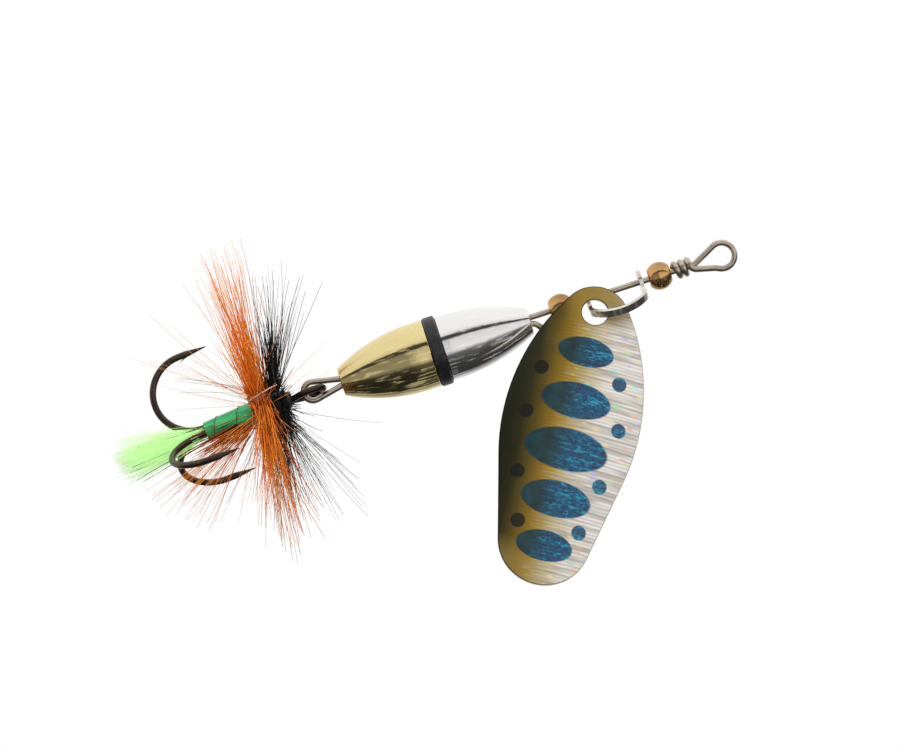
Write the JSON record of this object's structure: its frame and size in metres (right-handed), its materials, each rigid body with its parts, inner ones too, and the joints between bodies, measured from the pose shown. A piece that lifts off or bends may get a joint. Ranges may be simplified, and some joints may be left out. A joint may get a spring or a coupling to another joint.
{
  "type": "inline spinner",
  "caption": "Inline spinner lure on a wire shaft: beads, a cupped blade on a clevis, a two-tone bullet body and a feather-dressed treble hook.",
  "frame": {"origin": "centre of the round part of the line-tie eye", "axes": "+Z along the straight shaft towards the line, +X towards the side where the blade hangs at rest, -Y is the side that the blade's convex face looks to"},
  "size_m": [0.0407, 0.028, 0.0694],
  "materials": {
    "steel_wire": "polished stainless spring wire",
    "bead_brass": "polished",
    "nickel": "bright nickel plate",
    "blade_metal": "polished back of the blade",
    "blade_print": "holographic print, olive to silver, with blue bars and dark spots",
    "body_chrome": "bright plate, lightly worn",
    "black_ring": "satin black",
    "body_gold": "polished gold plate, lightly worn",
    "black_nickel": "black nickel",
    "black_thread": "lacquered thread",
    "black_feather": "natural black fibres",
    "orange_feather": "dyed orange fibres",
    "green_floss": "shiny synthetic floss",
    "dark_rib": "dark thread",
    "green_fluff": "pale green fluff",
    "dark_green_strand": "flat dark green strands"
  },
  "bodies": {
    "shaft": {"shaft_wire": "steel_wire"},
    "front_bead": {"front_bead": "bead_brass"},
    "rear_bead": {"rear_bead": "bead_brass"},
    "clevis": {"clevis": "nickel"},
    "blade": {"blade": "blade_metal", "blade_foil": "blade_print"},
    "body": {"body_front": "body_chrome", "body_ring": "black_ring", "body_rear": "body_gold"},
    "treble": {"double_hook": "black_nickel", "single_hook": "black_nickel", "thread_head": "black_thread", "black_hackle_quill": "black_feather", "black_hackle_fibres": "black_feather", "orange_hackle_quill": "orange_feather", "orange_hackle_fibres": "orange_feather", "floss_body": "green_floss", "rib_thread": "dark_rib", "tail_tuft": "green_fluff", "tail_strands": "dark_green_strand"}
  },
  "joints": [
    {"name": "front_bead_spin", "type": "hinge", "parent": "shaft", "child": "front_bead", "pos_m": [0, 0, -0.00695], "axis": [0, 0, 1], "continuous": true},
    {"name": "clevis_spin", "type": "hinge", "parent": "shaft", "child": "clevis", "pos_m": [0, 0, -0.01205], "axis": [0, 0, 1], "continuous": true},
    {"name": "blade_swing", "type": "hinge", "parent": "clevis", "child": "blade", "pos_m": [0.00165, -0.0024, -0.0148], "axis": [0, 1, 0], "range_deg": [-25, 20]},
    {"name": "rear_bead_spin", "type": "hinge", "parent": "shaft", "child": "rear_bead", "pos_m": [0, 0, -0.018], "axis": [0, 0, 1], "continuous": true},
    {"name": "body_spin", "type": "hinge", "parent": "shaft", "child": "body", "pos_m": [0.00036, 0, -0.0319], "axis": [0, 0, 1], "continuous": true},
    {"name": "hook_swing", "type": "hinge", "parent": "shaft", "child": "treble", "pos_m": [0.00036, 0, -0.0468], "axis": [0.9848, -0.1736, 0], "range_deg": [-25, 70]}
  ]
}
